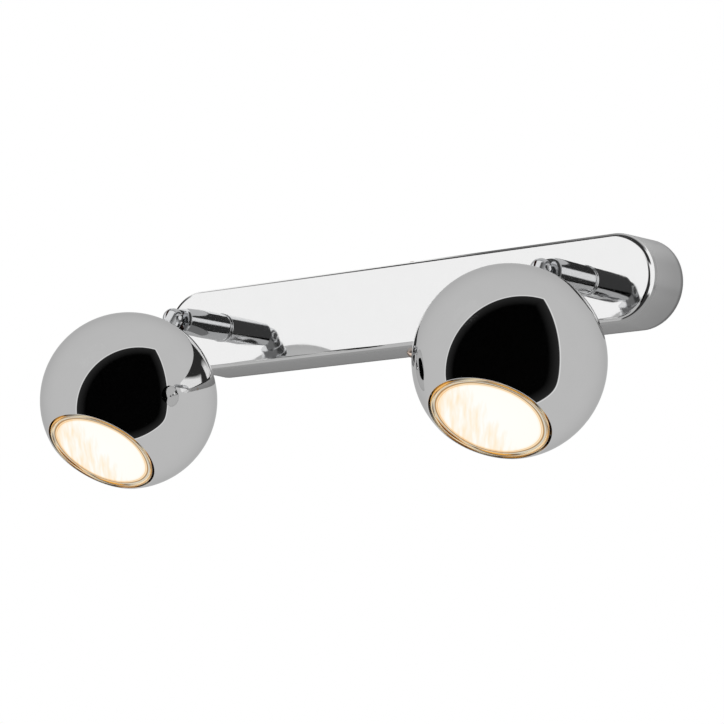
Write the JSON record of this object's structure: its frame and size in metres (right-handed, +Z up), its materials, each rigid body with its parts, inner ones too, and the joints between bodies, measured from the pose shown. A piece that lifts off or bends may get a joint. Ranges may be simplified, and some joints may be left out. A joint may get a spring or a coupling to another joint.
{
  "type": "spotlight bar",
  "caption": "Wall-mounted spotlight bar: a stadium-shaped chrome pan carrying ball spot heads on stems that swivel about the stem and tilt at a knuckle.",
  "frame": {"origin": "middle of the pan's rim on the wall plane, midway between the wall screw slots", "axes": "+X along the bar to the right as seen from the room, +Y into the wall, +Z up"},
  "size_m": [0.2828, 0.1302, 0.1041],
  "materials": {
    "chrome_pan": "bright chrome plate on pressed steel",
    "chrome_head": "bright chrome plate on spun steel",
    "chrome_joint": "bright chrome plate on turned metal",
    "zinc_steel": "zinc plated",
    "terminal_brass": "plain turned brass",
    "terminal_plastic": "natural polyamide",
    "friction_fibre": "pressed fibre",
    "holder_ceramic": "unglazed steatite",
    "lamp_glass": "pressed glass with a dichroic coating",
    "lamp_lens": "clear fluted glass, lit"
  },
  "bodies": {
    "bar": {"cover_pan": "chrome_pan", "stop_studs": "zinc_steel", "wall_strap": "zinc_steel", "side_screws": "chrome_joint", "terminal_block": "terminal_plastic", "terminal_sleeves": "terminal_brass", "terminal_screws": "terminal_brass", "block_screw": "zinc_steel", "earth_cup_washer": "zinc_steel", "earth_screw": "zinc_steel"},
    "left_swivel": {"left_stem": "chrome_joint", "left_nipple": "zinc_steel", "left_stop_washer": "zinc_steel", "left_spring_washer": "zinc_steel", "left_nipple_nut": "zinc_steel", "left_friction_disc": "friction_fibre", "left_pivot_screw": "chrome_joint"},
    "left_head": {"left_neck": "chrome_joint", "left_ball_shell": "chrome_head", "left_neck_washer": "zinc_steel", "left_neck_nut": "zinc_steel", "left_holder_bracket": "zinc_steel", "left_lamp_holder": "holder_ceramic", "left_holder_screws": "zinc_steel", "left_lamp_base": "holder_ceramic", "left_lamp_pins": "zinc_steel", "left_lamp_reflector": "lamp_glass", "left_lamp_lens": "lamp_lens", "left_lamp_capsule": "lamp_glass"},
    "right_swivel": {"right_stem": "chrome_joint", "right_nipple": "zinc_steel", "right_stop_washer": "zinc_steel", "right_spring_washer": "zinc_steel", "right_nipple_nut": "zinc_steel", "right_friction_disc": "friction_fibre", "right_pivot_screw": "chrome_joint"},
    "right_head": {"right_neck": "chrome_joint", "right_ball_shell": "chrome_head", "right_neck_washer": "zinc_steel", "right_neck_nut": "zinc_steel", "right_holder_bracket": "zinc_steel", "right_lamp_holder": "holder_ceramic", "right_holder_screws": "zinc_steel", "right_lamp_base": "holder_ceramic", "right_lamp_pins": "zinc_steel", "right_lamp_reflector": "lamp_glass", "right_lamp_lens": "lamp_lens", "right_lamp_capsule": "lamp_glass"}
  },
  "joints": [
    {"name": "left_swivel_turn", "type": "hinge", "parent": "bar", "child": "left_swivel", "pos_m": [-0.1, -0.0255, 0], "axis": [0, -1, 0], "range_deg": [-157, 163]},
    {"name": "left_head_tilt", "type": "hinge", "parent": "left_swivel", "child": "left_head", "pos_m": [-0.1, -0.0615, 0], "axis": [0.9986, 0, -0.0523], "range_deg": [-135, 25]},
    {"name": "right_swivel_turn", "type": "hinge", "parent": "bar", "child": "right_swivel", "pos_m": [0.1, -0.0255, 0], "axis": [0, -1, 0], "range_deg": [-161, 159]},
    {"name": "right_head_tilt", "type": "hinge", "parent": "right_swivel", "child": "right_head", "pos_m": [0.1, -0.0615, 0], "axis": [0.9998, 0, 0.0175], "range_deg": [-137, 23]}
  ]
}
